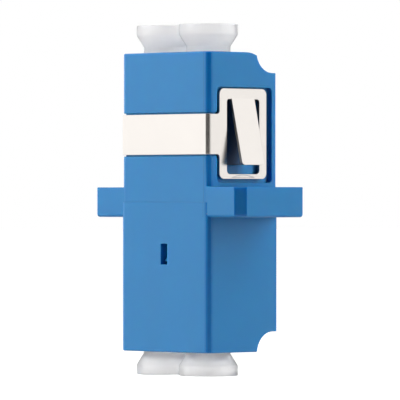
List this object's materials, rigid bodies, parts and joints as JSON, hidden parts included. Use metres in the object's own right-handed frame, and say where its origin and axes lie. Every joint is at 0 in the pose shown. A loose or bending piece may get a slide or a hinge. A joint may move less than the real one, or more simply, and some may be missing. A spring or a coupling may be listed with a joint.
{
  "type": "duplex fibre optic adapter",
  "caption": "Blue flanged two-port fibre adapter with a folded steel panel clip and a white dust cap in each port.",
  "frame": {"origin": "middle of the adapter's outline, on the plane through the flat heads of the two lower dust caps", "axes": "+Z along the fibres, from the rear side up to the panel side with the clip; X across the two ports; -Y the face that the clip's strap crosses"},
  "size_m": [0.022, 0.0094, 0.0351],
  "materials": {
    "housing_plastic": "fine satin moulded blue plastic",
    "carrier_plastic": "satin moulded blue plastic",
    "clip_steel": "bright rolled stainless spring sheet",
    "sleeve_ceramic": "polished white ceramic",
    "cap_plastic": "soft milky translucent plastic"
  },
  "bodies": {
    "adapter": {"adapter_housing": "housing_plastic", "panel_clip": "clip_steel", "sleeve_carrier_upper": "carrier_plastic", "sleeve_carrier_lower": "carrier_plastic", "split_sleeve_left": "sleeve_ceramic", "split_sleeve_right": "sleeve_ceramic"},
    "cap_top_left": {"dust_cap_top_left": "cap_plastic"},
    "cap_top_right": {"dust_cap_top_right": "cap_plastic"},
    "cap_bottom_left": {"dust_cap_bottom_left": "cap_plastic"},
    "cap_bottom_right": {"dust_cap_bottom_right": "cap_plastic"}
  },
  "joints": [
    {"name": "pull_top_left", "type": "slide", "parent": "adapter", "child": "cap_top_left", "axis": [0, 0, 1], "range_m": [0, 0.0074]},
    {"name": "pull_top_right", "type": "slide", "parent": "adapter", "child": "cap_top_right", "axis": [0, 0, 1], "range_m": [0, 0.0074]},
    {"name": "pull_bottom_left", "type": "slide", "parent": "adapter", "child": "cap_bottom_left", "axis": [0, 0, -1], "range_m": [0, 0.0074]},
    {"name": "pull_bottom_right", "type": "slide", "parent": "adapter", "child": "cap_bottom_right", "axis": [0, 0, -1], "range_m": [0, 0.0074]}
  ]
}
